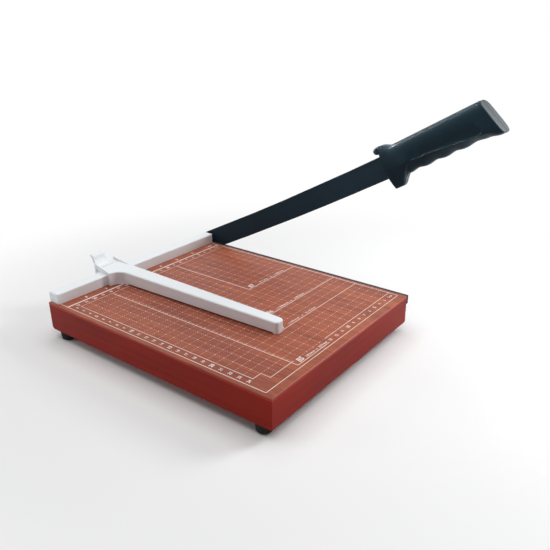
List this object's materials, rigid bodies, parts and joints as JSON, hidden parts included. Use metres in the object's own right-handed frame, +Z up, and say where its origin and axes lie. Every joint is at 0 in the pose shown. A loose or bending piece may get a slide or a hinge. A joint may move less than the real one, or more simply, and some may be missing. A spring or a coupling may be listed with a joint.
{
  "type": "paper cutter",
  "caption": "Guillotine paper cutter: printed board on rubber feet, fence with a sliding guide and clamp lever, and a pivoting blade arm with a moulded grip that shears past a fixed blade.",
  "frame": {"origin": "on the table, under the middle of the whole outline with the blade arm raised as stored", "axes": "+X to the user's right, towards the blade; +Y away from the user, towards the fence; +Z up"},
  "size_m": [0.2412, 0.3817, 0.2381],
  "materials": {
    "board_wood": "dark red-brown lacquer",
    "printed_panel": "red-brown wood grain under satin lacquer, with a printed white grid and scales",
    "white_plastic": "white moulded plastic, half gloss",
    "blade_steel": "blue-black satin coated steel",
    "grip_plastic": "fine-grained dark grey plastic",
    "foot_rubber": "matt black rubber",
    "zinc_steel": "zinc-plated steel",
    "bush_brass": "turned brass"
  },
  "bodies": {
    "base": {"base_board": "board_wood", "top_panel": "printed_panel", "fence_rail": "white_plastic", "fence_screws": "zinc_steel", "fixed_blade": "blade_steel", "fixed_blade_screws": "zinc_steel", "foot_front_left": "foot_rubber", "foot_front_right": "foot_rubber", "foot_rear_left": "foot_rubber", "foot_rear_right": "foot_rubber", "foot_washers": "zinc_steel", "foot_screws": "zinc_steel", "pivot_bolt": "zinc_steel", "pivot_bush": "bush_brass", "pivot_washer": "zinc_steel", "disc_spring": "zinc_steel", "lock_nut": "zinc_steel"},
    "arm": {"moving_blade": "blade_steel", "handle_inner_half": "grip_plastic", "handle_outer_half": "grip_plastic", "handle_screws": "zinc_steel"},
    "guide": {"paper_guide": "white_plastic", "lever_pin": "zinc_steel"},
    "lever": {"clamp_lever": "white_plastic"}
  },
  "joints": [
    {"name": "blade_swing", "type": "hinge", "parent": "base", "child": "arm", "pos_m": [0.11013, 0.16044, 0.0315], "axis": [-1, 0, 0], "range_deg": [-28.3, 50]},
    {"name": "guide_slide", "type": "slide", "parent": "base", "child": "guide", "axis": [1, 0, 0], "range_m": [-0.058, 0.12]},
    {"name": "lever_clamp", "type": "hinge", "parent": "guide", "child": "lever", "pos_m": [-0.04423, 0.17574, 0.0499], "axis": [-1, 0, 0], "range_deg": [0, 50]}
  ]
}
